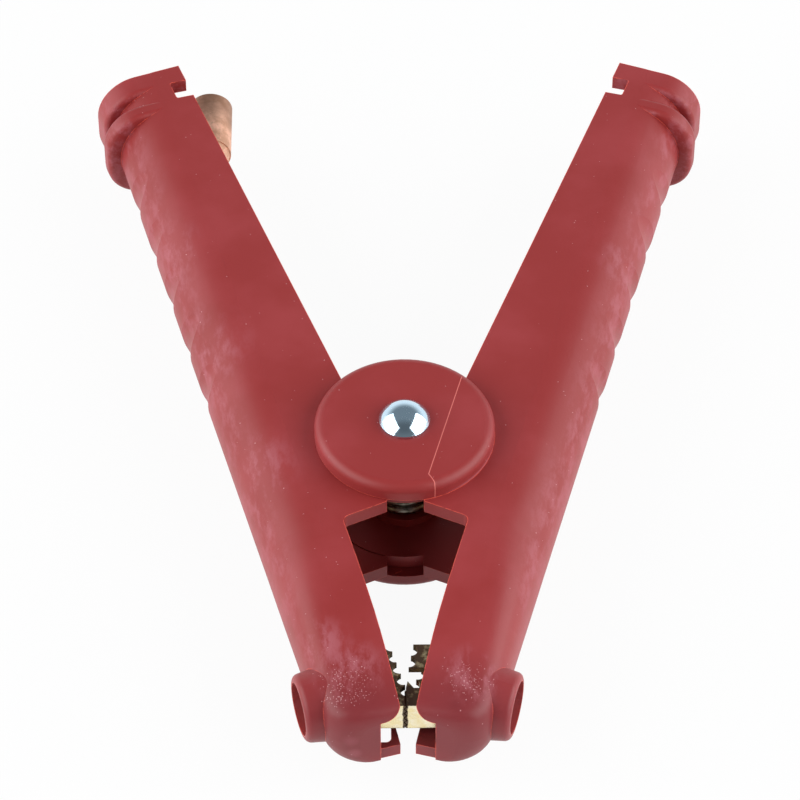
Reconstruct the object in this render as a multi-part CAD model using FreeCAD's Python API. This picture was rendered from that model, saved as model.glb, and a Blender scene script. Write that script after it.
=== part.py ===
import FreeCAD, Part
import math
import os

from FreeCAD import Vector

# Large insulated crocodile clip, lying on its side on the lower pivot disc.
# Sizes are in millimetres. The origin is on the pivot axis, on the flat face of
# the lower disc. +Z runs up the pivot and +Y towards the handles.
# Each half is drawn in its own frame first: u runs outwards from the pivot
# axis to the back of the channel, v runs along the back towards the handle end,
# and z is 0 at half the height of the channels.

# Pivot discs and the ears below them
disc_radius = 17.25
disc_thickness = 3.65
disc_edge_radius = 1.9
ear_radius = 15.0
ear_clearance = 0.3
layer_gap = 0.15

# Moulded channels
splay_angle = 15.6
back_distance = 32.2
handle_length = 113.9
nose_length = 61.6
channel_height = 21.6
wall = 3.0
front_wall = 2.6

# Open side of the handles
handle_edge_distance = 6.2
handle_edge_angle = 5.0
notch_length = 4.8
notch_depth = 3.5
notch_round = 0.4
tongue_length = 4.8

# Cut-out between the ears and the jaws
cutout_distance = 14.34
cutout_angle = 9.4
cutout_corner_radius = 1.5
ear_slot_half_width = 3.5

# Jaw end of the channels
jaw_edge_distance = 17.15
jaw_edge_bend = 42.0
jaw_edge_bend_radius = 240.0
nose_edge_distance = 18.5
taper_start = 17.0
taper_ease = 13.0
nose_height = 13.6
nose_top_radius = 2.6
nose_bottom_radius = 0.5
nose_corner_radius = 6.0
nose_flattening = 1.3
nose_side_round = 6.2
nose_side_weight = 1.5
nose_underside_round = 4.0
window_half_width = 5.0
window_edge = 1.3
window_round = 3.4
lip_setback = 0.7

# Slot in the floor of the left nose
floor_slot_length = 7.5
floor_slot_width = 5.0
floor_slot_edge = 3.1
floor_slot_reach = 1.5
floor_slot_radius = 1.0

# Guard flanges at the handle end
end_flange_rise = 2.3
end_flange_width = 5.0
groove_width = 3.4
second_flange_rise = 3.0
second_flange_width = 3.6
flange_corner = 8.4
flange_edge_round = 1.1
flange_sink = 0.05

# Finger grooves on the back of the handles
grip_count = 5
grip_first = 30.7
grip_pitch = 14.1
grip_width = 7.0
grip_depth = 0.5
grip_half_angle = 42.0

# Screw collars
collar_setback = 10.6
collar_radius = 6.3
collar_bore_radius = 5.0
collar_rise = 2.8
collar_draft = 1.3
collar_base = 26.5
collar_lip_radius = 1.2
seat_floor = 4.4

# Rivet, washer, sleeve and spring
rivet_radius = 3.0
rivet_head_radius = 4.9
rivet_head_edge = 0.5
rivet_dome_height = 2.9
rivet_tail_radius = 4.6
rivet_tail_flat = 3.0
fit_clearance = 0.05
washer_radius = 6.4
washer_thickness = 0.8
washer_recess_radius = 6.9
washer_recess_depth = 2.6
boss_radius = 7.2
boss_height = 1.8
sleeve_radius = 4.2
wire_diameter = 2.2
coil_radius = 5.6
coil_turns = 4
coil_step = 45.0
leg_reach = 46.0

# Toothed metal jaws
sheet = 1.4
jaw_height = 6.5
jaw_setback = 1.1
jaw_length = 14.5
jaw_web_gap = 2.7
jaw_gap = 0.3
bite_offset = -0.45
bite_length = 4.3
tooth_pitch = 2.75
tooth_radius = 1.3
tooth_bite_centre = 0.3
near_rim_start = 1.6
far_rim_start = 3.25
far_first_bite = 0.3
bite_round = 0.3
recess_setback = 4.2
recess_length = 4.8
recess_depth = 3.4
recess_tooth_start = 0.35
recess_tooth_width = 1.1
recess_tooth_height = 1.6
front_tooth_pitch = 1.3
front_tooth_depth = 0.3
arm_height = 10.8
arm_length = 50.0
arm_widening_gap = 2.0
arm_widening_length = 20.0
arm_round = 1.5

# Screws that hold the jaws
screw_radius = 1.75
screw_hole_radius = 1.95
screw_head_radius = 3.6
screw_head_height = 2.2
screw_slot_width = 0.9
screw_slot_depth = 0.9
screw_end = 3.0
seat_radius = 3.3

# Crimp lug in the left handle, bolted to the left jaw's arm
tube_radius = 4.5
tube_bore_radius = 3.5
tube_offset = 39.7
tube_end = 103.5
tube_length = 14.0
palm_length = 15.5
palm_thickness = 2.0
palm_half_width = 6.4
palm_transition = 9.0
neck_half_width = 2.7
neck_half_height = 5.6
lug_overlap = 0.2
lug_screw_radius = 2.5
lug_screw_head_radius = 4.2
lug_screw_head_height = 2.6
lug_nut_across_flats = 8.0
lug_nut_height = 3.2

half_height = channel_height / 2
middle = half_height + layer_gap + disc_thickness
nose_half_height = nose_height / 2
inner_half_height = half_height - wall
inner_back = back_distance - wall
jaw_half_height = jaw_height / 2
jaw_front = nose_length - jaw_setback
jaw_rear = jaw_front - jaw_length
recess_front = jaw_front - recess_setback
recess_rear = recess_front - recess_length
collar_position = nose_length - collar_setback
floor_slot_front = nose_length + floor_slot_reach
web_outer = inner_back - jaw_web_gap
web_inner = web_outer - sheet
far = 60.0
Z_AXIS = Vector(0, 0, 1)
Y_AXIS = Vector(0, 1, 0)
X_AXIS = Vector(1, 0, 0)
ORIGIN = Vector(0, 0, 0)
ELLIPSE_WEIGHT = math.sqrt(0.5)


def rounded_outline(corners):
    """Closed wire through (x, y, radius) corners, with an arc at each radius."""
    starts = []
    ends = []
    arcs = []
    for index, (x, y, radius) in enumerate(corners):
        before = corners[index - 1]
        after = corners[(index + 1) % len(corners)]
        corner = Vector(x, y, 0)
        to_before = (Vector(before[0], before[1], 0) - corner).normalize()
        to_after = (Vector(after[0], after[1], 0) - corner).normalize()
        if radius == 0:
            starts.append(corner)
            ends.append(corner)
            arcs.append(None)
            continue
        half_angle = to_before.getAngle(to_after) / 2
        reach = radius / math.tan(half_angle)
        bisector = (to_before + to_after).normalize()
        middle_point = corner + bisector * (radius / math.sin(half_angle) - radius)
        starts.append(corner + to_before * reach)
        ends.append(corner + to_after * reach)
        arcs.append(Part.Arc(starts[-1], middle_point, ends[-1]).toShape())
    edges = []
    for index, arc in enumerate(arcs):
        if arc is not None:
            edges.append(arc)
        following = starts[(index + 1) % len(corners)]
        edges.append(Part.makeLine(ends[index], following))
    return Part.Wire(edges)


def prism(corners, low, high):
    """Upright prism over a rounded outline, from z = low to z = high."""
    face = Part.Face(rounded_outline(corners))
    face.translate(Vector(0, 0, low))
    return face.extrude(Vector(0, 0, high - low))


def ring(outer, inner, low, high):
    """Upright ring on the pivot axis."""
    base = Vector(0, 0, low)
    return Part.makeCylinder(outer, high - low, base).cut(Part.makeCylinder(inner, high - low, base))


def box(low, high):
    """Box between two corners."""
    size = high - low
    return Part.makeBox(size.x, size.y, size.z, low)


def to_half_frame(shape):
    """Turns a shape drawn against the clip's centre line into the half's own frame."""
    turned = shape.copy()
    turned.rotate(ORIGIN, Z_AXIS, splay_angle)
    return turned


def place_right(shape):
    """Sets a shape from the half's own frame into the right side of the clip."""
    placed = shape.copy()
    placed.rotate(ORIGIN, Z_AXIS, -splay_angle)
    placed.translate(Vector(0, 0, middle))
    return placed


def place_left(shape):
    """Sets a shape from the half's own frame, mirrored, into the left side."""
    placed = shape.copy()
    placed.rotate(ORIGIN, Z_AXIS, -splay_angle)
    placed = placed.mirror(ORIGIN, X_AXIS)
    placed.translate(Vector(0, 0, middle))
    return placed


def handle_edge(v):
    """u of the handle's open edge."""
    return handle_edge_distance + v * math.tan(math.radians(handle_edge_angle))


def taper_height(v):
    """Half the channel's height, which eases into a straight taper towards the nose."""
    run = -taper_start - v
    if run <= 0:
        return half_height
    slope = (half_height - nose_half_height) / (nose_length - taper_start - taper_ease / 2)
    if run < taper_ease:
        return half_height - slope * run * run / (2 * taper_ease)
    return half_height - slope * (run - taper_ease / 2)


def quarter(start, corner, end, weight=ELLIPSE_WEIGHT):
    """Quarter of an ellipse between start and end, or a squarer curve with more weight."""
    curve = Part.BezierCurve()
    curve.setPoles([start, corner, end])
    curve.setWeight(2, weight)
    return curve.toShape()


def taper_share(v):
    """Share of the way, at v, from the start of the taper to the nose's rounded end."""
    return min(1, (-taper_start - v) / (nose_length - nose_corner_radius - taper_start))


def channel_section(v, top, bottom, back, round_top, round_bottom):
    """Section across the channel at v, flat above and below. Its back gets squarer above."""
    open_u = -far / 2
    flat_end = back - round_top
    lower_end = back - round_bottom
    weight = ELLIPSE_WEIGHT + (nose_side_weight - ELLIPSE_WEIGHT) * taper_share(v)
    edges = [
        Part.makeLine(Vector(open_u, v, top), Vector(flat_end, v, top)),
        quarter(Vector(flat_end, v, top), Vector(back, v, top), Vector(back, v, 0), weight),
        quarter(Vector(back, v, 0), Vector(back, v, -bottom), Vector(lower_end, v, -bottom)),
        Part.makeLine(Vector(lower_end, v, -bottom), Vector(open_u, v, -bottom)),
        Part.makeLine(Vector(open_u, v, -bottom), Vector(open_u, v, top)),
    ]
    return Part.Wire(edges)


def straight_channel(half, back, v_low, v_high):
    """Straight run of the channel's form, with a half-round back."""
    centre = back - half
    slab = box(Vector(-far / 2, v_low, -half), Vector(centre, v_high, half))
    rod = Part.makeCylinder(half, v_high - v_low, Vector(centre, v_low, 0), Y_AXIS)
    return slab.fuse(rod).removeSplitter()


def edge_drop(distance, radius):
    """How far a rounded edge has fallen at a distance from the front."""
    if distance >= radius:
        return 0.0
    return radius - math.sqrt(radius ** 2 - (radius - distance) ** 2)


def taper_sections(height_loss, back, v_end):
    """Sections of the tapered run, closer together where the taper eases in."""
    ease_steps = 4
    places = [-taper_start - taper_ease * step / ease_steps for step in range(ease_steps + 1)]
    sections = []
    for v in places + [v_end]:
        half = taper_height(v) - height_loss
        share = taper_share(v)
        upper = half + min(0, nose_side_round - half) * share
        lower = half + (nose_underside_round - half) * share
        sections.append(channel_section(v, half, half, back, upper, lower))
    return sections


def tapered_outside():
    """Tapered jaw end of the channel, closed by a rounded nose."""
    cap_start = -nose_length + nose_corner_radius
    taper = Part.makeLoft(taper_sections(0, back_distance, cap_start), True, True)
    sections = []
    for angle in (0, 18, 36, 54, 72, 90):
        turn = math.radians(angle)
        distance = nose_corner_radius * (1 - math.sin(turn))
        inset = 1 - math.cos(turn)
        v = -nose_length + distance
        half = taper_height(v)
        top = half - edge_drop(distance, nose_top_radius)
        bottom = half - edge_drop(distance, nose_bottom_radius)
        back = back_distance - nose_corner_radius * inset
        upper = nose_side_round + nose_flattening * inset
        sections.append(channel_section(v, top, bottom, back, upper, nose_underside_round))
    return taper.fuse(Part.makeLoft(sections, True, False))


def cavity():
    """Hollow of the channel, open along its inner side and at the handle end."""
    straight = straight_channel(inner_half_height, inner_back, -taper_start, handle_length + wall)
    tapered = Part.makeLoft(taper_sections(wall, inner_back, front_wall - nose_length), True, True)
    return straight.fuse(tapered)


def handle_end(u):
    """v of the handle's end, which is square to its open edge."""
    return handle_length - (u - handle_edge(handle_length)) * math.tan(math.radians(handle_edge_angle))


def flange(rise, width, distance):
    """Guard flange, a distance from the end. It is squarer than the back that it stands on."""
    high = half_height - flange_sink
    outer = back_distance + rise
    corners = [
        (handle_edge_distance, -high, 0),
        (outer, -high, flange_corner),
        (outer, high, flange_corner),
        (handle_edge_distance, high, 0),
    ]
    plate = Part.Face(rounded_outline(corners)).extrude(Vector(0, 0, width))
    plate.rotate(ORIGIN, X_AXIS, 90)
    rims = [edge for edge in plate.Edges if is_outer_rim(edge, handle_edge_distance)]
    plate = plate.makeFillet(flange_edge_round, rims)
    plate.rotate(Vector(outer, 0, 0), Z_AXIS, -handle_edge_angle)
    plate.translate(Vector(0, handle_end(outer) - distance, 0))
    return plate


def flanges():
    """Two guard flanges with a groove between them."""
    first = flange(end_flange_rise, end_flange_width + wall, -wall)
    second = flange(second_flange_rise, second_flange_width, end_flange_width + groove_width)
    return [first, second]


def grip_grooves():
    """Shallow finger grooves across the rounded back, which fade out up the sides."""
    centre = back_distance - half_height
    spread = math.cos(math.radians(grip_half_angle))
    rest = 2 * half_height * (1 - spread) - 2 * grip_depth
    shift = (grip_depth ** 2 - 2 * half_height * grip_depth) / rest
    radius = half_height - grip_depth - shift
    grooves = []
    for index in range(grip_count):
        v = grip_first + index * grip_pitch
        axis_point = Vector(centre + shift, v, 0)
        edge_radius = radius + grip_depth
        low = Vector(centre + shift + edge_radius, v - grip_width / 2, 0)
        high = Vector(centre + shift + edge_radius, v + grip_width / 2, 0)
        bottom = Vector(centre + shift + radius, v, 0)
        outer_low = low + Vector(half_height, 0, 0)
        outer_high = high + Vector(half_height, 0, 0)
        edges = [
            Part.Arc(low, bottom, high).toShape(),
            Part.makeLine(high, outer_high),
            Part.makeLine(outer_high, outer_low),
            Part.makeLine(outer_low, low),
        ]
        profile = Part.Face(Part.Wire(edges))
        profile.rotate(axis_point, Y_AXIS, -grip_half_angle)
        grooves.append(profile.revolve(axis_point, Y_AXIS, 2 * grip_half_angle))
    return grooves


def plan_corners():
    """Outline of a half seen from above, open at the pivot side."""
    slope = math.tan(math.radians(cutout_angle))
    edge_slope = math.tan(math.radians(handle_edge_angle))
    meeting_v = -(cutout_distance + slope * handle_edge_distance) / (1 + slope * edge_slope)
    corner_v = -cutout_distance - slope * jaw_edge_distance
    notch_far = handle_length - tongue_length
    notch_near = notch_far - notch_length
    nose_beyond = nose_length + wall
    bend_slope = (nose_edge_distance - jaw_edge_distance) / (nose_length - jaw_edge_bend)
    nose_beyond_u = nose_edge_distance + bend_slope * wall
    return [
        (handle_edge(handle_length), handle_length, 0),
        (handle_edge(notch_far), notch_far, 0),
        (handle_edge(notch_far) + notch_depth, notch_far, notch_round),
        (handle_edge(notch_near) + notch_depth, notch_near, notch_round),
        (handle_edge(notch_near), notch_near, 0),
        (handle_edge(meeting_v), meeting_v, 0),
        (jaw_edge_distance, corner_v, cutout_corner_radius),
        (jaw_edge_distance, -jaw_edge_bend, jaw_edge_bend_radius),
        (nose_beyond_u, -nose_beyond, 0),
        (far, -nose_beyond, 0),
        (far, handle_end(far), 0),
    ]


def ear_slot():
    """Slot between the ears' ends, left open so that the jaws can spread."""
    slot = box(Vector(-far, -far / 2, -half_height), Vector(ear_slot_half_width, 0, half_height))
    return to_half_frame(slot)


def ear_level(low, high):
    """Plan of the wall that carries the round ear."""
    plan = prism(plan_corners(), low, high)
    beyond = ear_slot().cut(Part.makeCylinder(ear_radius, channel_height, Vector(0, 0, -half_height)))
    ear = Part.makeCylinder(ear_radius, high - low, Vector(0, 0, low))
    return plan.cut(beyond).fuse(ear)


def cut_back_level(low, high):
    """Plan of the wall that is cut back round the other half's ear."""
    plan = prism(plan_corners(), low, high)
    hole = Part.makeCylinder(ear_radius + ear_clearance, high - low, Vector(0, 0, low))
    return plan.cut(ear_slot()).cut(hole)


def nose_window():
    """Window through the front of the nose, where the jaw's front shows."""
    inside_front = front_wall - nose_length
    height = taper_height(inside_front) - wall
    corners = [
        (-far, -height, 0),
        (window_half_width, -height, 0),
        (window_half_width, height, 0),
        (window_edge, height, window_round),
        (window_edge, far, 0),
        (-far, far, 0),
    ]
    window = Part.Face(rounded_outline(corners)).extrude(Vector(0, 0, 2 * far))
    window.rotate(ORIGIN, X_AXIS, 90)
    front = box(Vector(-far, -2 * far, -far), Vector(far, inside_front, far))
    return to_half_frame(window).common(front)


def lip_cut():
    """Sets the lip under the window back from the front of the nose."""
    strip = box(Vector(-far, -2 * far, -half_height), Vector(window_half_width, 0, 0))
    front = box(Vector(-far, -2 * far, -half_height), Vector(far, lip_setback - nose_length, 0))
    return to_half_frame(strip).common(front)


def floor_slot():
    """Slot in the floor of the left nose, behind its lip."""
    left = floor_slot_edge
    right = floor_slot_edge + floor_slot_width
    rear = floor_slot_length - floor_slot_front
    corners = [
        (left, -floor_slot_front, floor_slot_radius),
        (right, -floor_slot_front, floor_slot_radius),
        (right, rear, floor_slot_radius),
        (left, rear, floor_slot_radius),
    ]
    return to_half_frame(prism(corners, -half_height, 0))


def collar():
    """Collar round the jaw's screw, a little wider at its foot."""
    v = -collar_position
    rim = back_distance + collar_rise
    base = Vector(collar_base, v, 0)
    stub = Part.makeCone(collar_radius + collar_draft, collar_radius, rim - collar_base, base, X_AXIS)
    rims = [edge for edge in stub.Edges if is_circle_at(edge, rim, collar_radius)]
    return stub.makeFillet(collar_lip_radius, rims)


def screw_seat():
    """Boss between the jaw's web and the back of the channel."""
    depth = back_distance - web_outer - seat_floor / 2
    return Part.makeCylinder(seat_radius, depth, Vector(web_outer, -collar_position, 0), X_AXIS)


def screw_bores():
    """Collar bore for the screw's head, and the hole for its shank."""
    start = Vector(web_outer - sheet / 2, -collar_position, 0)
    floor = Vector(web_outer + seat_floor, -collar_position, 0)
    bore = Part.makeCylinder(collar_bore_radius, far, floor, X_AXIS)
    return bore.fuse(Part.makeCylinder(screw_hole_radius, far, start, X_AXIS))


def is_outer_rim(edge, inner_u):
    """Whether an edge lies in one of a plate's faces, away from its inner end."""
    box_of_edge = edge.BoundBox
    return box_of_edge.YLength < fit_clearance and box_of_edge.XMax > inner_u + fit_clearance


def is_circle_at(edge, u, radius):
    """True for a circular edge of this radius in the plane at u."""
    if not isinstance(edge.Curve, Part.Circle):
        return False
    return abs(edge.Curve.Center.x - u) < 0.001 and abs(edge.Curve.Radius - radius) < 0.001


def pivot_disc():
    """Disc on the upper side of a half, with the web that joins it to the wall."""
    base = half_height + layer_gap
    disc = Part.makeCylinder(disc_radius, disc_thickness, Vector(0, 0, base))
    rims = [edge for edge in disc.Edges if is_rim(edge, base + disc_thickness)]
    disc = disc.makeFillet(disc_edge_radius, rims)
    web = cut_back_level(half_height - wall / 2, base + disc_thickness / 2)
    return disc.fuse(web.common(Part.makeCylinder(disc_radius, half_height + middle, Vector(0, 0, 0))))


def is_rim(edge, z):
    """True for a circular edge at this height."""
    return isinstance(edge.Curve, Part.Circle) and abs(edge.Curve.Center.z - z) < 0.001


def turned_over(shape):
    """The same shape on the lower side."""
    return shape.mirror(ORIGIN, Z_AXIS)


def shell(is_left):
    """One moulded half. The right one carries the upper disc, the left one the lower."""
    outside = straight_channel(half_height, back_distance, -taper_start, handle_length + wall).fuse(flanges())
    for groove in grip_grooves():
        outside = outside.cut(groove)
    outside = outside.fuse(tapered_outside())
    outside = outside.removeSplitter()
    ear = ear_level(0, half_height)
    cut_back = cut_back_level(0, half_height)
    if is_left:
        plan = ear.fuse(turned_over(cut_back))
    else:
        plan = cut_back.fuse(turned_over(ear))
    body = outside.fuse(collar()).common(plan).cut(cavity())
    body = body.cut(nose_window()).cut(lip_cut())
    boss_base = Vector(0, 0, inner_half_height - boss_height)
    boss = Part.makeCylinder(boss_radius, boss_height + wall / 2, boss_base)
    disc = pivot_disc()
    if is_left:
        body = body.fuse([boss, turned_over(disc)]).cut(floor_slot())
    else:
        body = body.fuse([turned_over(boss), disc])
    body = body.fuse(screw_seat()).cut(screw_bores())
    body = body.cut(Part.makeCylinder(rivet_radius + fit_clearance, 2 * middle, Vector(0, 0, -middle)))
    if is_left:
        recess = Part.makeCylinder(washer_recess_radius, washer_recess_depth, Vector(0, 0, -middle))
        body = body.cut(recess)
    return body.removeSplitter()


def jaw_outline(bite, rim_start):
    """Outline of a jaw seen from above, against the clip's centre line."""
    tips = bite - front_tooth_depth
    return [
        (tips, -jaw_front, 0),
        (tips, bite_length - jaw_front, bite_round),
        (rim_start, -jaw_rear, 0),
        (across_at(web_outer, -jaw_rear), -jaw_rear, 0),
        (across_at(web_outer, -jaw_front), -jaw_front, bite_round),
    ]


def across_at(u, y):
    """Distance from the centre line, at y, of the line that runs along the half at u."""
    turn = math.radians(splay_angle)
    return (u + y * math.sin(turn)) / math.cos(turn)


def along_at(u, x):
    """y, at a distance x from the centre line, of the line that runs along the half at u."""
    turn = math.radians(splay_angle)
    return (x * math.cos(turn) - u) / math.sin(turn)


def rim_bites(bite, rim_start, first_bite, last_y):
    """Round bites that leave pointed teeth along one rim of a jaw."""
    slope = (rim_start - bite) / (jaw_length - bite_length)
    step = tooth_pitch * math.cos(math.atan(slope))
    bites = []
    y = -jaw_rear - first_bite
    while y > last_y:
        x = rim_start + slope * (y + jaw_rear) - tooth_bite_centre
        bites.append(Part.makeCylinder(tooth_radius, jaw_half_height, Vector(x, y, 0)))
        y -= step
    return bites[0].fuse(bites[1:])


def jaw_recess():
    """Wide notch in a jaw's near rim, with one sharp tooth left at its front."""
    tooth_end = recess_tooth_start + recess_tooth_width
    front = -recess_front
    return prism([
        (-far, -recess_rear, 0),
        (-far, front, 0),
        (-recess_tooth_start, front, 0),
        (0, front + recess_tooth_height, 0),
        (tooth_end - recess_tooth_start, front, 0),
        (recess_depth, front, 0),
        (recess_depth, -recess_rear, 0),
    ], 0, jaw_half_height)


def jaw_tip(shift):
    """Toothed end of a jaw: a folded channel, closed at the front."""
    bite = jaw_gap / 2 + shift
    near_rim = near_rim_start + shift
    near = prism(jaw_outline(bite, near_rim), 0, jaw_half_height)
    near = near.cut(jaw_recess())
    near = near.cut(rim_bites(bite, near_rim, tooth_pitch / 2, tooth_radius - recess_rear))
    away = prism(jaw_outline(bite, far_rim_start), 0, jaw_half_height)
    last_bite = bite_length - jaw_front - tooth_radius
    away = away.cut(rim_bites(bite, far_rim_start, far_first_bite, last_bite))
    hollow_height = jaw_half_height - sheet
    inside_front = sheet - jaw_front
    hollow = prism([
        (-far, inside_front, 0),
        (across_at(web_inner, inside_front), inside_front, sheet),
        (across_at(web_inner, 0), 0, 0),
        (-far, 0, 0),
    ], -hollow_height, hollow_height)
    tip = near.fuse(turned_over(away)).cut(hollow)
    return tip.cut(front_teeth(bite))


def front_teeth(edge):
    """Small teeth down the meeting edge of a jaw's front, which mesh with the other jaw's."""
    count = math.ceil(jaw_height / front_tooth_pitch) + 1
    start = front_tooth_pitch / 4 - (count // 2) * front_tooth_pitch
    front = -jaw_front - sheet
    half_pitch = front_tooth_pitch / 2
    grooves = []
    for index in range(count):
        z = start + index * front_tooth_pitch
        points = [
            Vector(edge - front_tooth_depth, front, z - half_pitch),
            Vector(edge + front_tooth_depth, front, z),
            Vector(edge - front_tooth_depth, front, z + half_pitch),
        ]
        wedge = Part.Face(Part.makePolygon(points + points[:1]))
        grooves.append(wedge.extrude(Vector(0, bite_length + sheet, 0)))
    return grooves[0].fuse(grooves[1:])


def jaw_arm(length, end_round):
    """Flat arm that runs back from the jaw past the pivot, widening as the channel does."""
    front = -jaw_front * math.cos(math.radians(splay_angle))
    wide = arm_height / 2
    widening_start = arm_widening_gap - jaw_rear
    widening_end = widening_start + arm_widening_length
    corners = [
        (front, -jaw_half_height, 0),
        (widening_start, -jaw_half_height, arm_round),
        (widening_end, -wide, arm_round),
        (length, -wide, end_round),
        (length, wide, end_round),
        (widening_end, wide, arm_round),
        (widening_start, jaw_half_height, arm_round),
        (front, jaw_half_height, 0),
    ]
    plate = Part.Face(rounded_outline(corners)).extrude(Vector(0, 0, sheet))
    plate.rotate(ORIGIN, Vector(1, 1, 1), 120)
    plate.translate(Vector(web_inner, 0, 0))
    return plate


def screw_hole_in_web():
    """Tapped hole for the jaw's screw."""
    start = Vector(web_inner - sheet, -collar_position, 0)
    return Part.makeCylinder(screw_radius + fit_clearance, 3 * sheet, start, X_AXIS)


def jaw(tip, arm):
    """A jaw on its arm, in the half's own frame."""
    return to_half_frame(tip).fuse(arm).cut(screw_hole_in_web()).removeSplitter()


def right_jaw():
    """Jaw of the right half, with the recess in its upper rim."""
    return jaw(jaw_tip(bite_offset), jaw_arm(arm_length, arm_round))


def left_jaw():
    """Jaw of the left half: the same stamping turned over, its arm bent along the lug."""
    inside = tube_offset + palm_thickness / 2
    bend = along_at(web_inner, inside)
    outer_bend = along_at(web_outer, inside + sheet)
    turn = math.radians(splay_angle)
    bend_v = (inside + sheet) * math.sin(turn) + outer_bend * math.cos(turn)
    arm_end = lug_screw_y() + palm_length / 2
    tail = prism([
        (inside, bend, 0),
        (inside, arm_end, 0),
        (inside + sheet, arm_end, 0),
        (inside + sheet, outer_bend, 0),
    ], -arm_height / 2, arm_height / 2)
    arm = jaw_arm(bend_v, 0).fuse(to_half_frame(tail))
    arm = arm.cut(to_half_frame(lug_bolt_hole()))
    return jaw(turned_over(jaw_tip(-bite_offset)), arm)


def lug_screw_y():
    """y of the screw through the lug's palm."""
    return tube_end - tube_length - palm_transition - palm_length / 2


def lug_bolt_hole():
    """Hole through the lug's palm and the left jaw's arm."""
    start = Vector(tube_offset - far / 2, lug_screw_y(), 0)
    return Part.makeCylinder(lug_screw_radius + fit_clearance, far, start, X_AXIS)


def jaw_screw():
    """Slotted screw in the collar, through the channel's back into the jaw's web."""
    v = -collar_position
    seat = web_outer + seat_floor
    top = seat + screw_head_height
    start = web_inner - screw_end
    shank = Part.makeCylinder(screw_radius, seat - start, Vector(start, v, 0), X_AXIS)
    head = Part.makeCylinder(screw_head_radius, screw_head_height, Vector(seat, v, 0), X_AXIS)
    rims = [edge for edge in head.Edges if is_circle_at(edge, top, screw_head_radius)]
    head = head.makeFillet(screw_head_height / 3, rims)
    half_slot = screw_slot_width / 2
    slot = box(Vector(top - screw_slot_depth, v - half_slot, -screw_head_radius),
               Vector(top, v + half_slot, screw_head_radius))
    return shank.fuse(head).cut(slot)


def pivot_rivet():
    """Domed rivet through both discs. Its tail, formed under the washer, ends flush."""
    head_base = middle + fit_clearance
    edge_top = head_base + rivet_head_edge
    crown = edge_top + rivet_dome_height
    tail_top = washer_recess_depth - middle - washer_thickness
    tail_end = -middle
    dome_radius = (rivet_head_radius ** 2 + rivet_dome_height ** 2) / (2 * rivet_dome_height)
    half_way = math.asin(rivet_head_radius / dome_radius) / 2
    dome_x = dome_radius * math.sin(half_way)
    dome_point = Vector(dome_x, 0, crown - dome_radius * (1 - math.cos(half_way)))
    corners = [
        (0, tail_end),
        (rivet_tail_flat, tail_end),
        (rivet_tail_radius, tail_top - rivet_head_edge),
        (rivet_tail_radius, tail_top),
        (rivet_radius, tail_top),
        (rivet_radius, head_base),
        (rivet_head_radius, head_base),
        (rivet_head_radius, edge_top),
    ]
    points = [Vector(x, 0, z) for x, z in corners]
    edges = [Part.makeLine(start, end) for start, end in zip(points, points[1:])]
    edges.append(Part.Arc(points[-1], dome_point, Vector(0, 0, crown)).toShape())
    edges.append(Part.makeLine(Vector(0, 0, crown), points[0]))
    return Part.Face(Part.Wire(edges)).revolve(ORIGIN, Z_AXIS, 360)


def rivet_washer():
    """Washer in the recess of the lower disc."""
    top = washer_recess_depth - middle
    return ring(washer_radius, rivet_radius + fit_clearance, top - washer_thickness, top)


def spring_sleeve():
    """Tube on the rivet that keeps the ears apart inside the spring."""
    reach = inner_half_height - boss_height
    return ring(sleeve_radius, rivet_radius + fit_clearance, fit_clearance - reach, reach)


def leg_end(side, z):
    """Point where a spring leg ends, against the inner face of the arm on that side."""
    end = Vector(web_inner - wire_diameter / 2 - fit_clearance, leg_reach, z)
    end = FreeCAD.Rotation(Z_AXIS, -splay_angle).multVec(end)
    return Vector(side * end.x, end.y, end.z)


def spring_path():
    """Centre line of the spring: the left leg, the coil from below, then the right leg."""
    end = leg_end(1, 0)
    leave = math.degrees(math.atan2(end.y, end.x) - math.acos(coil_radius / end.Length))
    pitch = wire_diameter + fit_clearance
    sweep = 360 * coil_turns + 180 + 2 * leave
    rise = pitch * sweep / 360
    steps = math.ceil(sweep / coil_step)
    coil = []
    for step in range(steps + 1):
        turn = math.radians(180 - leave + sweep * step / steps)
        z = rise * (step / steps - 0.5)
        coil.append(Vector(coil_radius * math.cos(turn), coil_radius * math.sin(turn), z))
    left = leg_end(-1, -rise / 2)
    right = leg_end(1, rise / 2)
    points = []
    for share in (0, 0.3, 0.6, 0.8, 0.92):
        points.append(left + (coil[0] - left) * share)
    points += coil
    for share in (0.08, 0.2, 0.4, 0.7, 1):
        points.append(coil[-1] + (right - coil[-1]) * share)
    return points


def torsion_spring():
    """Round-wire spring: a coil round the sleeve, with a leg along each handle."""
    points = spring_path()
    curve = Part.BSplineCurve()
    curve.interpolate(points)
    start = Part.makeCircle(wire_diameter / 2, points[0], points[1] - points[0])
    path = Part.Wire([curve.toShape()])
    return path.makePipeShell([Part.Wire([start])], True, False)


def oval_across(y, half_x, half_z):
    """Oval wire in the plane at y, centred on the lug's axis."""
    flat = Part.Ellipse(Vector(0, half_z, 0), Vector(-half_x, 0, 0), ORIGIN).toShape()
    wire = Part.Wire([flat])
    wire.rotate(ORIGIN, X_AXIS, 90)
    wire.translate(Vector(tube_offset, y, 0))
    return wire


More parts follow.
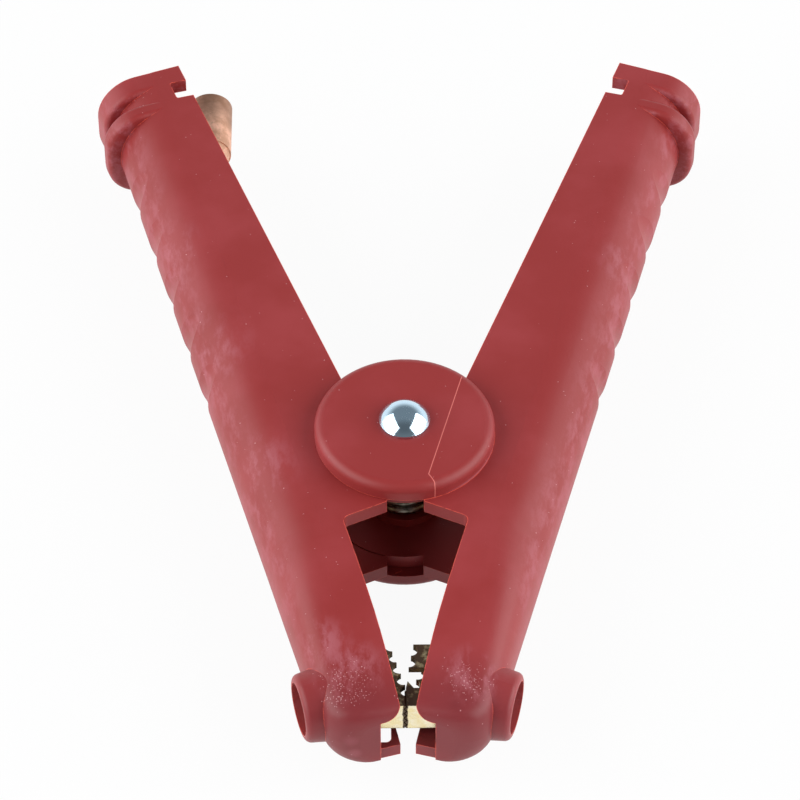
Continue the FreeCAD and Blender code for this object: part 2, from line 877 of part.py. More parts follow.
def cable_lug():
    """Copper crimp lug: a tube for the cable, flattened to a palm."""
    tube_start = tube_end - tube_length
    palm_end = tube_start - palm_transition
    tube = Part.makeCylinder(tube_radius, tube_length, Vector(tube_offset, tube_start, 0), Y_AXIS)
    sunk = lug_overlap
    sections = [
        oval_across(tube_start + sunk, tube_radius - sunk, tube_radius - sunk / 2),
        oval_across(tube_start - palm_transition / 2, neck_half_width, neck_half_height),
        oval_across(palm_end - sunk, palm_thickness / 2 - sunk, palm_half_width - sunk),
    ]
    neck = Part.makeLoft(sections, True, False)
    corner = palm_half_width / 2
    corners = [
        (palm_end - palm_length, -palm_half_width, corner),
        (palm_end, -palm_half_width, corner / 2),
        (palm_end, palm_half_width, corner / 2),
        (palm_end - palm_length, palm_half_width, corner),
    ]
    palm = Part.Face(rounded_outline(corners)).extrude(Vector(0, 0, palm_thickness))
    palm.rotate(ORIGIN, Vector(1, 1, 1), 120)
    palm.translate(Vector(tube_offset - palm_thickness / 2, 0, 0))
    bore_start = Vector(tube_offset, tube_start + wall, 0)
    bore = Part.makeCylinder(tube_bore_radius, tube_length, bore_start, Y_AXIS)
    return tube.fuse([neck, palm]).cut(bore).cut(lug_bolt_hole())


def lug_screw():
    """Pan-head screw through the lug's palm and the arm."""
    seat = tube_offset - palm_thickness / 2
    end = tube_offset + palm_thickness / 2 + sheet + lug_nut_height + lug_screw_radius / 4
    head_start = Vector(seat - lug_screw_head_height, lug_screw_y(), 0)
    head = Part.makeCylinder(lug_screw_head_radius, lug_screw_head_height, head_start, X_AXIS)
    outer = [edge for edge in head.Edges if is_circle_at(edge, head_start.x, lug_screw_head_radius)]
    head = head.makeFillet(lug_screw_head_height / 3, outer)
    shank = Part.makeCylinder(lug_screw_radius, end - seat, Vector(seat, lug_screw_y(), 0), X_AXIS)
    return head.fuse(shank)


def lug_nut():
    """Hexagon nut on the lug's screw."""
    corner_radius = lug_nut_across_flats / math.sqrt(3)
    start = tube_offset + palm_thickness / 2 + sheet
    corners = []
    for index in range(6):
        turn = math.radians(60 * index)
        y = lug_screw_y() + corner_radius * math.cos(turn)
        corners.append(Vector(start, y, corner_radius * math.sin(turn)))
    hexagon = Part.Face(Part.makePolygon(corners + corners[:1]))
    body = hexagon.extrude(Vector(lug_nut_height, 0, 0))
    return body.cut(lug_bolt_hole())


def raised(shape):
    """Lifts a shape drawn about half height, so that the lower disc's face is at z = 0."""
    placed = shape.copy()
    placed.translate(Vector(0, 0, middle))
    return placed


def left_of_centre(shape):
    """Sets a shape drawn against the centre line into the left side."""
    return raised(shape.mirror(ORIGIN, X_AXIS))


def build():
    """Every piece of the clip, in place, by name."""
    return {
        "left_shell": place_left(shell(True)),
        "right_shell": place_right(shell(False)),
        "left_jaw": place_left(left_jaw()),
        "right_jaw": place_right(right_jaw()),
        "left_jaw_screw": place_left(jaw_screw()),
        "right_jaw_screw": place_right(jaw_screw()),
        "pivot_rivet": raised(pivot_rivet()),
        "rivet_washer": raised(rivet_washer()),
        "spring_sleeve": raised(spring_sleeve()),
        "torsion_spring": raised(torsion_spring()),
        "cable_lug": left_of_centre(cable_lug()),
        "lug_screw": left_of_centre(lug_screw()),
        "lug_nut": left_of_centre(lug_nut()),
    }


os.makedirs("parts", exist_ok=True)
for name, solid in build().items():
    solid.exportStep("parts/" + name + ".step")
    print(name, "solids", len(solid.Solids), "valid", solid.isValid(), "volume", round(solid.Volume, 1))
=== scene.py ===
import math

import bmesh
import bpy
from mathutils import Matrix, Vector

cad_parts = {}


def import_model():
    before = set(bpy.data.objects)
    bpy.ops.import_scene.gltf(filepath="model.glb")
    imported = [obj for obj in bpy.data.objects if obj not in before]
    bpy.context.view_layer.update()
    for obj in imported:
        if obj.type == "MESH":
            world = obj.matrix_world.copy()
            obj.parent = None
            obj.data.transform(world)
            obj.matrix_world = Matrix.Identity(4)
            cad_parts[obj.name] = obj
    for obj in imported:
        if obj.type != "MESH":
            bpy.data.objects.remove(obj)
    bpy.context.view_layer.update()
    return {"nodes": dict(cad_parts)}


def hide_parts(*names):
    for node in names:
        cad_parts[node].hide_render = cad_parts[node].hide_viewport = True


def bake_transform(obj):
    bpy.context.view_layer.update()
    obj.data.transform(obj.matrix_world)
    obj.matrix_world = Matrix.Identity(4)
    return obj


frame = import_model()
nodes = frame["nodes"]

MM = 0.001


# Node tools

def feed(tree, value, socket):
    """Gives an input socket another node's output, or a fixed value."""
    if isinstance(value, bpy.types.NodeSocket):
        tree.links.new(value, socket)
    elif value is not None:
        socket.default_value = value


def add(tree, kind, inputs=None, **settings):
    """New node with its settings and its inputs."""
    node = tree.nodes.new(kind)
    for name, value in settings.items():
        setattr(node, name, value)
    for name, value in (inputs or {}).items():
        feed(tree, value, node.inputs[name])
    return node


def calculate(tree, operation, first, second=None, clamp=False):
    """Output of a Math node."""
    node = add(tree, "ShaderNodeMath", operation=operation, use_clamp=clamp)
    feed(tree, first, node.inputs[0])
    feed(tree, second, node.inputs[1])
    return node.outputs[0]


def plus(tree, first, second):
    """Sum of two values."""
    return calculate(tree, "ADD", first, second)


def times(tree, first, second):
    """Product of two values."""
    return calculate(tree, "MULTIPLY", first, second)


def without(tree, mask):
    """The opposite of a mask."""
    return calculate(tree, "SUBTRACT", 1.0, mask)


def either(tree, masks):
    """The largest of several masks."""
    result = masks[0]
    for mask in masks[1:]:
        result = calculate(tree, "MAXIMUM", result, mask)
    return result


def vector_math(tree, operation, first, second=None, scale=None):
    """Output of a Vector Math node: a value for a distance or a dot product, else a vector."""
    node = add(tree, "ShaderNodeVectorMath", operation=operation)
    feed(tree, first, node.inputs[0])
    feed(tree, second, node.inputs[1])
    if scale is not None:
        feed(tree, scale, node.inputs["Scale"])
    return node.outputs["Value" if operation in ("DISTANCE", "DOT_PRODUCT") else "Vector"]


def split_vector(tree, vector):
    """X, Y and Z outputs of a vector."""
    return add(tree, "ShaderNodeSeparateXYZ", {"Vector": vector}).outputs


def place_of(tree):
    """The piece's own coordinates."""
    return add(tree, "ShaderNodeTexCoord").outputs["Object"]


def facing_of(tree):
    """X, Y and Z of the way a surface faces."""
    return split_vector(tree, add(tree, "ShaderNodeNewGeometry").outputs["Normal"])


def mix_colour(tree, factor, first, second, blend="MIX"):
    """Output of a colour Mix node."""
    node = add(tree, "ShaderNodeMix", data_type="RGBA", blend_type=blend)
    values = {"Factor_Float": factor, "A_Color": first, "B_Color": second}
    for socket in node.inputs:
        feed(tree, values.get(socket.identifier), socket)
    return next(socket for socket in node.outputs if socket.identifier == "Result_Color")


def tinted(tree, colour, mask, amount, tint):
    """Colour taken towards a tint, by amount where the mask is 1."""
    return mix_colour(tree, times(tree, mask, amount), colour, tint)


def ramp(tree, value, low, high):
    """Smooth mask that goes from 0 at low to 1 at high."""
    span = {"Value": value, "From Min": low, "From Max": high}
    node = add(tree, "ShaderNodeMapRange", span, interpolation_type="SMOOTHSTEP")
    return node.outputs["Result"]


def noise(tree, place, size_mm, detail=3.0, roughness=0.5):
    """Noise with features of about size_mm, as a value around 0.5."""
    scale = 1 / (size_mm * MM)
    inputs = {"Vector": place, "Scale": scale, "Detail": detail, "Roughness": roughness}
    return add(tree, "ShaderNodeTexNoise", inputs).outputs["Fac"]


def patch(tree, place, centre_mm, radius_mm):
    """Soft round mask: 1 near a point of the clip, 0 from radius_mm on."""
    reach = vector_math(tree, "DISTANCE", place, [length * MM for length in centre_mm])
    return ramp(tree, reach, radius_mm * MM, 0.2 * radius_mm * MM)


def patches(tree, place, spots):
    """One mask of several round patches, each given by its centre and radius."""
    return either(tree, [patch(tree, place, centre, radius) for centre, radius in spots])


def thin_line(tree, place, start_mm, end_mm, half_width_mm):
    """Mask of a thin straight line between two points, the same at every height."""
    start = Vector(start_mm).to_3d() * MM
    along = Vector(end_mm).to_3d() * MM - start
    flat = vector_math(tree, "MULTIPLY", place, (1, 1, 0))
    offset = vector_math(tree, "SUBTRACT", flat, start)
    share = vector_math(tree, "DOT_PRODUCT", offset, along / along.length_squared)
    share = calculate(tree, "ADD", share, 0.0, clamp=True)
    nearest = vector_math(tree, "SCALE", along, scale=share)
    gap = vector_math(tree, "DISTANCE", offset, nearest)
    return ramp(tree, gap, half_width_mm * MM, 0.3 * half_width_mm * MM)


def new_group(name, inputs):
    """Shader node group with named values as inputs and a mask as its output."""
    group = bpy.data.node_groups.new(name, "ShaderNodeTree")
    for label, value in inputs.items():
        socket = group.interface.new_socket(label, in_out="INPUT", socket_type="NodeSocketFloat")
        socket.default_value = value
    group.interface.new_socket("Mask", in_out="OUTPUT", socket_type="NodeSocketFloat")
    return group


def speck_group():
    """Small round specks: a cell of a fine pattern has one if its random value is under the cover.

    Spacing is in millimetres, Size is the largest speck's share of a cell."""
    group = new_group("specks", {"Spacing": 0.27, "Size": 0.40, "Cover": 0.01})
    chosen = add(group, "NodeGroupInput").outputs
    scale = calculate(group, "DIVIDE", 1000.0, chosen["Spacing"])
    cells = add(group, "ShaderNodeTexVoronoi", {"Vector": place_of(group), "Scale": scale}).outputs
    random = add(group, "ShaderNodeSeparateColor", {"Color": cells["Color"]}).outputs
    size = times(group, chosen["Size"], random["Red"])
    dot = calculate(group, "LESS_THAN", cells["Distance"], size)
    kept = calculate(group, "LESS_THAN", random["Green"], chosen["Cover"])
    add(group, "NodeGroupOutput", {"Mask": times(group, dot, kept)})
    return group


def edge_group():
    """Mask of the sharp edges, found by how far a rounded normal leans from the face."""
    group = new_group("sharp edge", {})
    rounded = add(group, "ShaderNodeBevel", {"Radius": 0.30 * MM}, samples=6).outputs["Normal"]
    face = add(group, "ShaderNodeNewGeometry").outputs["Normal"]
    lean = without(group, vector_math(group, "DOT_PRODUCT", rounded, face))
    add(group, "NodeGroupOutput", {"Mask": ramp(group, lean, 0.02, 0.12)})
    return group


# Material tools

def new_material(name):
    """Material with a Principled shader; returns the material, its tree and the shader."""
    material = bpy.data.materials.new(name)
    material.use_nodes = True
    tree = material.node_tree
    return material, tree, tree.nodes["Principled BSDF"]


def surface(tree, shader, colour, metallic, roughness):
    """Sets the shader's three main inputs."""
    feed(tree, colour, shader.inputs["Base Color"])
    feed(tree, metallic, shader.inputs["Metallic"])
    feed(tree, roughness, shader.inputs["Roughness"])


def bump_normal(tree, height, strength, distance_mm):
    """Normal bent by a height."""
    inputs = {"Height": height, "Strength": strength, "Distance": distance_mm * MM}
    return add(tree, "ShaderNodeBump", inputs).outputs["Normal"]


SPECKS = speck_group()
EDGES = edge_group()


# Moulded red plastic. Places are centres in millimetres, each with its radius

RED = (0.295, 0.026, 0.025, 1)
FADED_RED = (0.335, 0.038, 0.040, 1)
SMUDGED_RED = (0.17, 0.012, 0.012, 1)
NOSE_SHADE_RED = (0.185, 0.021, 0.026, 1)
BORE_RED = (0.44, 0.038, 0.020, 1)
HAZE_AND_SHEEN_PINK = (0.47, 0.145, 0.175, 1)
DUST_PINK = (0.80, 0.48, 0.50, 1)
EDGE_HIGHLIGHT_RED = (0.90, 0.13, 0.085, 1)
FLASH_RED = (0.78, 0.20, 0.17, 1)
SHEEN_PINK = (1.0, 0.72, 0.78, 1)

DUSTY_NOSES = (((-11.4, -59.3, 23.1), 7.0), ((10.6, -58.1, 23.1), 6.0))
RUBBED_PLACES = (
    ((-16.5, -50.0, 23.0), 8.0),
    ((-10.5, -56.0, 23.5), 9.0),
    ((12.0, -57.0, 23.5), 8.0),
    ((-29.6, -7.2, 20.6), 13.0),
    ((-39.9, 24.6, 20.6), 14.0),
    ((-48.6, 52.5, 20.6), 12.0),
    ((47.0, 48.0, 20.6), 11.0),
)
PALE_BLOTCHES = (((-10.4, -65.4, 15.2), 2.2), ((-9.8, -66.2, 11.6), 1.8))
DARK_SMUDGES = (((8.5, -63.6, 22.1), 1.7), ((-3.6, -40.0, 25.0), 3.0))
# Painted shade on the nose tips, whose fronts turn away from the lamps
SHADED_NOSE_TIPS = (((-9.0, -67.0, 17.0), 20.0), ((9.0, -67.0, 17.0), 20.0))
COLLAR_BORES = (((-22.9, -59.3, 14.6), 7.5), ((22.9, -59.3, 14.6), 7.5))
HOLLOW_UNDER_DISC = ((0, -8, 9), 20.0)
RIM_BASE = ((14.4, -10.0, 25.7), 10.0)
RIM_BASE_HEIGHT = 25.7
FLASH_LINE = ((11.2, 11.6), (4.4, -13.8), (5.5, -15.6), (5.9, -19.4))
FLASH_HALF_WIDTH = 0.13
UPPER_DISC_HEIGHT = 25.4
OUTER_SIDE_START = 17.0
OUTER_SIDE_FULL = 24.0


def red_ground(tree, place):
    """Two reds in slow drifts, with dark smudges, painted shade on the nose tips and bright collar
    bores.
    """
    drift = noise(tree, place, 22.0, detail=4.0, roughness=0.55)
    colour = mix_colour(tree, ramp(tree, drift, 0.36, 0.66), RED, FADED_RED)
    colour = tinted(tree, colour, patches(tree, place, DARK_SMUDGES), 0.45, SMUDGED_RED)
    # Painted shade darkens the nose tips
    colour = tinted(tree, colour, patches(tree, place, SHADED_NOSE_TIPS), 0.8, NOSE_SHADE_RED)
    return tinted(tree, colour, patches(tree, place, COLLAR_BORES), 0.7, BORE_RED)


def pale_haze_and_side_sheen(tree, place):
    """Mask of the pale hazing where the plastic is worn and of a painted sheen on the outer side
    faces, streaked along the handles, with the blotches on the left nose and the pale line at the
    base of the disc's rim."""
    position = split_vector(tree, place)
    off_centre = calculate(tree, "ABSOLUTE", position["X"])
    outer = ramp(tree, off_centre, OUTER_SIDE_START * MM, OUTER_SIDE_FULL * MM)
    upright = ramp(tree, calculate(tree, "ABSOLUTE", facing_of(tree)["Z"]), 0.95, 0.5)
    # Painted sheen: side faces towards the outside are paled pink, as glancing light would pale
    # them
    side = times(tree, times(tree, upright, outer), 0.8)
    streaks = add(tree, "ShaderNodeMapping", {"Vector": place, "Scale": (1.0, 0.45, 1.0)})
    cloud = noise(tree, streaks.outputs["Vector"], 3.6, detail=8.0, roughness=0.74)
    rubbed_and_sheen_places = either(tree, [patches(tree, place, RUBBED_PLACES), side])
    haze_and_sheen = times(tree, ramp(tree, cloud, 0.44, 0.64), rubbed_and_sheen_places)

    blotches = times(tree, patches(tree, place, PALE_BLOTCHES), 0.5)
    off_base = calculate(tree, "SUBTRACT", position["Z"], RIM_BASE_HEIGHT * MM)
    base = ramp(tree, calculate(tree, "ABSOLUTE", off_base), 0.30 * MM, 0.12 * MM)
    base = times(tree, base, patch(tree, place, *RIM_BASE))
    return either(tree, [haze_and_sheen, blotches, base])


def dust(tree, place):
    """Mask of pale specks, thick on the noses and rare elsewhere."""
    cover = plus(tree, times(tree, patches(tree, place, DUSTY_NOSES), 0.62), 0.004)
    return add(tree, "ShaderNodeGroup", {"Cover": cover}, node_tree=SPECKS).outputs["Mask"]


def painted_edge_highlights(tree, place):
    """Mask of the painted highlights along sharp edges, broken up, and left out of the shaded
    hollow under the disc.
    """
    broken = ramp(tree, noise(tree, place, 1.4, detail=2.0), 0.28, 0.52)
    open_places = without(tree, patch(tree, place, *HOLLOW_UNDER_DISC))
    edges = add(tree, "ShaderNodeGroup", node_tree=EDGES).outputs["Mask"]
    return times(tree, edges, times(tree, broken, open_places))


def flash_line(tree, place):
    """Mask of the thin raised line over the upper disc."""
    lines = [
        thin_line(tree, place, start, end, FLASH_HALF_WIDTH)
        for start, end in zip(FLASH_LINE, FLASH_LINE[1:])
    ]
    height = split_vector(tree, place)["Z"]
    on_disc = calculate(tree, "GREATER_THAN", height, UPPER_DISC_HEIGHT * MM)
    return times(tree, either(tree, lines), on_disc)


def moulded_red():
    """Satin brick-red plastic, hazed where worn and with a painted sheen on its sides, dusty on its
    noses, with painted highlights along its edges.
    """
    material, tree, shader = new_material("moulded red plastic")
    place = place_of(tree)
    haze_and_sheen = pale_haze_and_side_sheen(tree, place)
    line = flash_line(tree, place)
    # Pink from the worn places and from the painted sheen on the sides
    colour = tinted(tree, red_ground(tree, place), haze_and_sheen, 0.60, HAZE_AND_SHEEN_PINK)
    colour = tinted(tree, colour, dust(tree, place), 0.7, DUST_PINK)
    # Painted highlights along the sharp edges
    colour = tinted(tree, colour, painted_edge_highlights(tree, place), 0.9, EDGE_HIGHLIGHT_RED)
    colour = tinted(tree, colour, line, 0.8, FLASH_RED)

    grain = noise(tree, place, 0.45, detail=3.0, roughness=0.6)
    rough = plus(tree, 0.38, times(tree, haze_and_sheen, 0.16))
    rough = plus(tree, rough, times(tree, grain, 0.10))
    surface(tree, shader, colour, 0.0, rough)
    shader.inputs["Specular IOR Level"].default_value = 0.4
    shader.inputs["Sheen Weight"].default_value = 0.04
    shader.inputs["Sheen Roughness"].default_value = 0.5
    shader.inputs["Sheen Tint"].default_value = SHEEN_PINK
    relief = plus(tree, grain, times(tree, line, 1.5))
    feed(tree, bump_normal(tree, relief, 0.3, 0.05), shader.inputs["Normal"])
    return material


# Gold plate of the jaws

GOLD = (0.95, 0.81, 0.47, 1)
PALE_GOLD = (0.98, 0.89, 0.64, 1)
TARNISHED_GOLD = (0.40, 0.27, 0.11, 1)
TARNISH_AND_SHADE_BROWN = (0.080, 0.033, 0.012, 1)
TEETH_START = -41.0
TEETH_FULL = -47.0
JAW_SPLIT = -0.45
ROLLED_UPWARD = (0, 0, 0.35)


def jaw_brown_and_shade(tree, place, grime, front):
    """Mask of the brown on the toothed ends and their edges, partly tarnish and partly painted
    shade among the teeth, and of a painted shade line in the split between the jaws.
    """
    position = split_vector(tree, place)
    toothed = ramp(tree, position["Y"], TEETH_START * MM, TEETH_FULL * MM)
    flats = times(tree, without(tree, front), ramp(tree, grime, 0.30, 0.50))
    edges = add(tree, "ShaderNodeGroup", node_tree=EDGES).outputs["Mask"]
    # Brown on the sharp edges of the teeth, partly tarnish and partly painted shade
    worn = times(tree, times(tree, edges, ramp(tree, grime, 0.36, 0.52)), 0.8)
    brown_and_shade = times(tree, either(tree, [flats, worn]), toothed)

    # Painted shade: a ragged dark line along the split between the two jaws
    off_split = calculate(tree, "SUBTRACT", position["X"], JAW_SPLIT * MM)
    off_split = calculate(tree, "ABSOLUTE", off_split)
    ragged = plus(tree, off_split, times(tree, grime, -0.95 * MM))
    return either(tree, [brown_and_shade, ramp(tree, ragged, 0.05 * MM, -0.15 * MM)])


def gold_plate():
    """Pale gold plating, bright on the jaws' front, brown on the teeth, partly tarnish and partly
    painted shade, with a painted shade line in the split between the jaws, and dull on the arms.

    The front shades as if rolled a little upward, as the real plate is."""
    material, tree, shader = new_material("gold plated brass")
    place = place_of(tree)
    grime = noise(tree, place, 2.0, detail=4.0, roughness=0.62)
    front = ramp(tree, times(tree, facing_of(tree)["Y"], -1.0), 0.30, 0.70)
    brown_and_shade = jaw_brown_and_shade(tree, place, grime, front)
    cloud = ramp(tree, noise(tree, place, 9.0, detail=3.0), 0.25, 0.75)
    tarnish = times(tree, without(tree, front), cloud)
    colour = mix_colour(tree, ramp(tree, grime, 0.4, 0.65), GOLD, PALE_GOLD)
    colour = tinted(tree, colour, tarnish, 0.7, TARNISHED_GOLD)
    # Brown on the teeth, partly tarnish and partly painted shade
    colour = tinted(tree, colour, brown_and_shade, 0.92, TARNISH_AND_SHADE_BROWN)

    metal = calculate(tree, "SUBTRACT", 0.85, times(tree, brown_and_shade, 0.40))
    rough = plus(tree, 0.30, times(tree, brown_and_shade, 0.20))
    rough = calculate(tree, "SUBTRACT", rough, times(tree, front, 0.12))
    surface(tree, shader, colour, metal, rough)
    upward = vector_math(tree, "SCALE", ROLLED_UPWARD, scale=front)
    rolled = vector_math(tree, "ADD", bump_normal(tree, grime, 0.25, 0.10), upward)
    feed(tree, vector_math(tree, "NORMALIZE", rolled), shader.inputs["Normal"])
    return material


# The other metals

BRIGHT_PLATE = (0.66, 0.85, 0.98, 1)
PITTED_PLATE = (0.80, 0.92, 1.0, 1)
DARK_ZINC = (0.50, 0.50, 0.47, 1)
LIGHT_ZINC = (0.66, 0.66, 0.64, 1)
DARK_WIRE = (0.11, 0.10, 0.075, 1)
LIGHT_WIRE = (0.36, 0.34, 0.28, 1)
DARK_COPPER = (0.62, 0.33, 0.21, 1)
LIGHT_COPPER = (0.96, 0.57, 0.41, 1)
COPPER_STAIN = (0.27, 0.17, 0.12, 1)
DULL_MOUTH = (0.58, 0.56, 0.54, 1)
MOUTH_START = 94.0
MOUTH_FULL = 100.0


def bright_plate():
    """Mirror-bright plating with fine pits."""
    material, tree, shader = new_material("bright plated rivet")
    place = place_of(tree)
    worn = noise(tree, place, 2.6, detail=2.0)
    pits = {"Spacing": 0.22, "Size": 0.42, "Cover": ramp(tree, worn, 0.42, 0.75)}
    pitted = add(tree, "ShaderNodeGroup", pits, node_tree=SPECKS).outputs["Mask"]
    pitted = times(tree, pitted, 0.6)
    rough = plus(tree, 0.06, times(tree, worn, 0.07))
    rough = plus(tree, rough, times(tree, pitted, 0.3))
    surface(tree, shader, mix_colour(tree, pitted, BRIGHT_PLATE, PITTED_PLATE), 1.0, rough)
    relief = plus(tree, times(tree, pitted, 2.0), noise(tree, place, 0.5, detail=2.0))
    feed(tree, bump_normal(tree, relief, 0.06, 0.03), shader.inputs["Normal"])
    return material


def plated_steel():
    """Dull zinc plating on the hidden fasteners."""
    material, tree, shader = new_material("zinc plated steel")
    cloud = noise(tree, place_of(tree), 1.4, detail=4.0)
    colour = mix_colour(tree, ramp(tree, cloud, 0.35, 0.7), DARK_ZINC, LIGHT_ZINC)
    surface(tree, shader, colour, 1.0, plus(tree, 0.28, times(tree, cloud, 0.2)))
    feed(tree, bump_normal(tree, cloud, 0.1, 0.04), shader.inputs["Normal"])
    return material


def oiled_wire():
    """Dark oiled spring wire, mottled."""
    material, tree, shader = new_material("oiled spring wire")
    cloud = noise(tree, place_of(tree), 1.1, detail=5.0, roughness=0.65)
    colour = mix_colour(tree, ramp(tree, cloud, 0.35, 0.68), DARK_WIRE, LIGHT_WIRE)
    surface(tree, shader, colour, 1.0, plus(tree, 0.20, times(tree, cloud, 0.25)))
    feed(tree, bump_normal(tree, cloud, 0.2, 0.05), shader.inputs["Normal"])
    return material


def annealed_copper():
    """Copper tube, mottled by heat and handling, and dull towards its mouth."""
    material, tree, shader = new_material("annealed copper")
    place = place_of(tree)
    cloud = noise(tree, place, 5.0, detail=5.0, roughness=0.62)
    fine = noise(tree, place, 0.9, detail=4.0, roughness=0.7)
    mouth = ramp(tree, split_vector(tree, place)["Y"], MOUTH_START * MM, MOUTH_FULL * MM)
    colour = mix_colour(tree, ramp(tree, cloud, 0.36, 0.66), DARK_COPPER, LIGHT_COPPER)
    colour = mix_colour(tree, mouth, colour, DULL_MOUTH, blend="MULTIPLY")
    colour = tinted(tree, colour, ramp(tree, fine, 0.52, 0.74), 0.45, COPPER_STAIN)
    surface(tree, shader, colour, 0.75, plus(tree, 0.40, times(tree, cloud, 0.25)))
    feed(tree, bump_normal(tree, fine, 0.2, 0.06), shader.inputs["Normal"])
    return material


def dress(material, names):
    """Gives pieces of the clip one material all over."""
    for name in names:
        for slot in nodes[name].material_slots:
            slot.material = material


dress(moulded_red(), ["left_shell", "right_shell"])
dress(gold_plate(), ["left_jaw", "right_jaw"])
dress(bright_plate(), ["pivot_rivet"])
dress(plated_steel(), [
    "left_jaw_screw", "right_jaw_screw", "rivet_washer", "spring_sleeve", "lug_screw", "lug_nut",
])
dress(oiled_wire(), ["torsion_spring"])
dress(annealed_copper(), ["cable_lug"])


# The torsion spring winds up as the handles close; here it is drawn as a new coil, with a leg in
# each half, in place of the model's spring

WIRE_DIAMETER = 2.2
WIRE_SIDES = 14
COIL_RADIUS = 5.6
COIL_START_ANGLE = 216.9
COIL_TURN = 1546.2
COIL_PITCH = 2.25
COIL_STEPS = 144
LOWER_LEG_HEIGHT = 9.77
LEG_LENGTH = 51.56


def leg(mesh, ring, direction):
    """Straight leg drawn out of an open end of the coil, closed at its tip."""
    drawn = bmesh.ops.extrude_edge_only(mesh, edges=ring)["geom"]
    tip = [item for item in drawn if isinstance(item, bmesh.types.BMVert)]
    bmesh.ops.translate(mesh, verts=tip, vec=direction * LEG_LENGTH * MM)
    edges = [item for item in drawn if isinstance(item, bmesh.types.BMEdge)]
    tip_ring = [edge for edge in edges if all(corner in tip for corner in edge.verts)]
    bmesh.ops.edgeloop_fill(mesh, edges=tip_ring)


def winding_spring():
    """Coil of round wire with two straight legs, each held in one half."""
    mesh = bmesh.new()
    radius = WIRE_DIAMETER / 2 * MM
    circle = bmesh.ops.create_circle(mesh, segments=WIRE_SIDES, radius=radius)["verts"]
    upright = Matrix.Rotation(math.radians(90), 4, "X")
    to_coil = Matrix.Translation((COIL_RADIUS * MM, 0, LOWER_LEG_HEIGHT * MM))
    to_start = Matrix.Rotation(math.radians(COIL_START_ANGLE), 4, "Z")
    bmesh.ops.transform(mesh, matrix=to_start @ to_coil @ upright, verts=circle)
    first_ring = mesh.edges[:]
    rise = COIL_PITCH * COIL_TURN / 360 / COIL_STEPS * MM
    coil = bmesh.ops.spin(
        mesh, geom=circle + first_ring, cent=(0, 0, 0), axis=(0, 0, 1), dvec=(0, 0, rise),
        angle=math.radians(COIL_TURN), steps=COIL_STEPS,
    )
    last_ring = [item for item in coil["geom_last"] if isinstance(item, bmesh.types.BMEdge)]
    begin = math.radians(COIL_START_ANGLE)
    finish = math.radians(COIL_START_ANGLE + COIL_TURN)
    leg(mesh, first_ring, Vector((math.sin(begin), -math.cos(begin), 0)))
    leg(mesh, last_ring, Vector((-math.sin(finish), math.cos(finish), 0)))
    bmesh.ops.recalc_face_normals(mesh, faces=mesh.faces[:])
    for face in mesh.faces:
        face.smooth = len(face.verts) == 4
    data = bpy.data.meshes.new("winding_spring")
    mesh.to_mesh(data)
    mesh.free()
    piece = bpy.data.objects.new("winding_spring", data)
    bpy.context.scene.collection.objects.link(piece)
    data.materials.append(nodes["torsion_spring"].material_slots[0].material)
    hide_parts("torsion_spring")
    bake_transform(piece)


winding_spring()


# Studio, in metres and degrees

LENS_MM = 180
SENSOR_MM = 36
CAMERA_PLACE = (-0.006022, -0.519088, 0.587690)
CAMERA_ELEVATION = 46.8
CAMERA_AZIMUTH = -0.57
FLOOR_SIZE = 8
FLOOR_HEIGHT = -0.0002
FLOOR_GREY = (0.80, 0.80, 0.80, 1)
FLOOR_GLOW_SHARE = 0.94
WHITE = (1, 1, 1, 1)
ROOM = (0.21, 0.235, 0.255, 1)
ROOM_BEHIND_CAMERA = (0.12, 0.13, 0.14, 1)
BACKDROP = (0.92, 0.95, 0.98, 1)
BACKDROP_BEHIND_CAMERA = (0.18, 0.19, 0.20, 1)
SOFTBOX_OFFSET = 1.0
SOFTBOX_BACK = -0.22
SOFTBOX_HEIGHT = 0.6
SOFTBOX_AIM = (0, 0.02, 0.01)
SOFTBOX_SIZE = (1.7, 1.1)
SOFTBOX_POWER = 17.0


def camera():
    """Camera at the photograph's angle, high above the bench, with a long lens."""
    data = bpy.data.cameras.new("camera")
    data.lens = LENS_MM
    data.sensor_width = SENSOR_MM
    data.clip_start = 0.01
    data.clip_end = 20
    view = bpy.data.objects.new("camera", data)
    bpy.context.scene.collection.objects.link(view)
    elevation = math.radians(CAMERA_ELEVATION)
    azimuth = math.radians(CAMERA_AZIMUTH)
    level = Vector((-math.sin(azimuth), math.cos(azimuth), 0))
    ahead = level * math.cos(elevation) - Vector((0, 0, math.sin(elevation)))
    view.location = CAMERA_PLACE
    view.rotation_euler = ahead.to_track_quat("-Z", "Y").to_euler()
    bpy.context.scene.camera = view


def seen_rays(tree):
    """1 for rays that show a surface as it looks: from the camera, a mirror or through glass."""
    rays = add(tree, "ShaderNodeLightPath").outputs
    return either(tree, [rays["Is Camera Ray"], rays["Is Glossy Ray"], rays["Is Transmission Ray"]])


def mix_shaders(tree, share, first, second, output):
    """Feeds an output with two shaders, the second one by its share."""
    blend = add(tree, "ShaderNodeMixShader", {"Fac": share})
    feed(tree, first.outputs[0], blend.inputs[1])
    feed(tree, second.outputs[0], blend.inputs[2])
    feed(tree, blend.outputs[0], tree.nodes[output].inputs["Surface"])


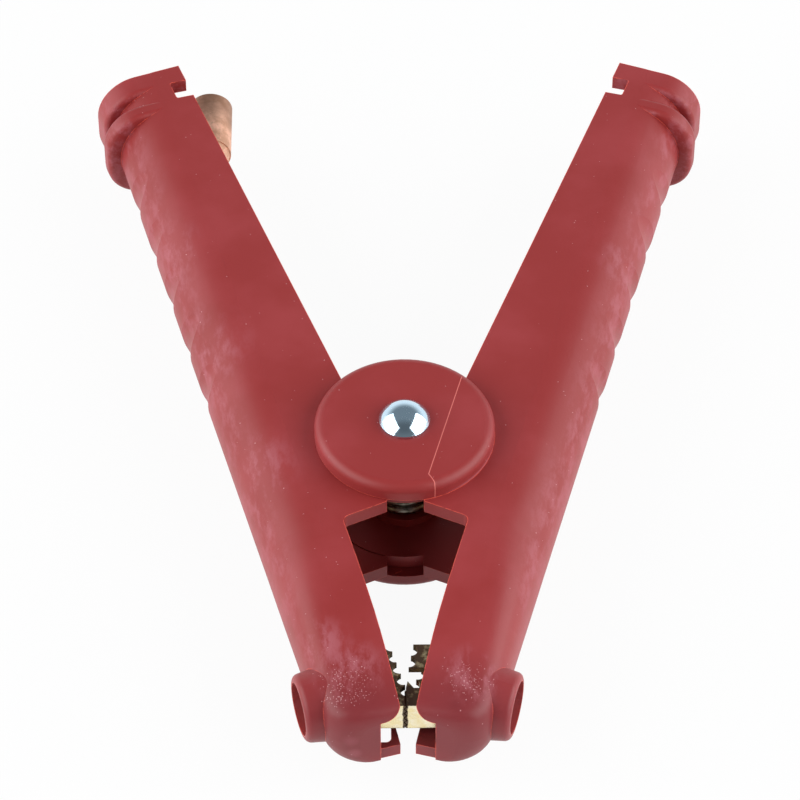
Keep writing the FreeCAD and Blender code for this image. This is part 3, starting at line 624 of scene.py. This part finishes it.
def floor():
    """White floor that keeps a faint soft shadow under the clip."""
    bpy.ops.mesh.primitive_plane_add(size=FLOOR_SIZE, location=(0, 0, FLOOR_HEIGHT))
    plane = bpy.context.object
    plane.name = "studio_floor"
    material, tree, shader = new_material("studio floor")
    surface(tree, shader, FLOOR_GREY, 0.0, 0.9)
    glow = add(tree, "ShaderNodeEmission", {"Color": WHITE, "Strength": 1.0})
    share = times(tree, seen_rays(tree), FLOOR_GLOW_SHARE)
    mix_shaders(tree, share, shader, glow, "Material Output")
    plane.data.materials.append(material)


def softbox(name, place):
    """Rectangular softbox at a place, aimed at the clip."""
    data = bpy.data.lights.new(name, "AREA")
    data.shape = "RECTANGLE"
    data.size, data.size_y = SOFTBOX_SIZE
    data.energy = SOFTBOX_POWER
    light = bpy.data.objects.new(name, data)
    light.location = place
    towards_clip = Vector(SOFTBOX_AIM) - Vector(place)
    light.rotation_euler = towards_clip.to_track_quat("-Z", "Y").to_euler()
    bpy.context.scene.collection.objects.link(light)


def world():
    """White low backdrop under a dim blue-grey room, darker behind the camera, and white to the
    camera itself."""
    sky = bpy.data.worlds.new("studio")
    bpy.context.scene.world = sky
    sky.use_nodes = True
    tree = sky.node_tree
    direction = split_vector(tree, add(tree, "ShaderNodeTexCoord").outputs["Generated"])
    behind_camera = ramp(tree, direction["Y"], 0.0, -0.6)
    room = mix_colour(tree, behind_camera, ROOM, ROOM_BEHIND_CAMERA)
    backdrop = mix_colour(tree, behind_camera, BACKDROP, BACKDROP_BEHIND_CAMERA)
    colour = mix_colour(tree, ramp(tree, direction["Z"], 0.16, 0.70), backdrop, room)
    background = tree.nodes["Background"]
    feed(tree, colour, background.inputs["Color"])
    white = add(tree, "ShaderNodeBackground", {"Color": WHITE, "Strength": 1.0})
    from_camera = add(tree, "ShaderNodeLightPath").outputs["Is Camera Ray"]
    mix_shaders(tree, from_camera, background, white, "World Output")


camera()
floor()
world()
for name, side in (("softbox_left", -1), ("softbox_right", 1)):
    softbox(name, (SOFTBOX_OFFSET * side, SOFTBOX_BACK, SOFTBOX_HEIGHT))

bpy.context.scene.view_settings.view_transform = "Standard"
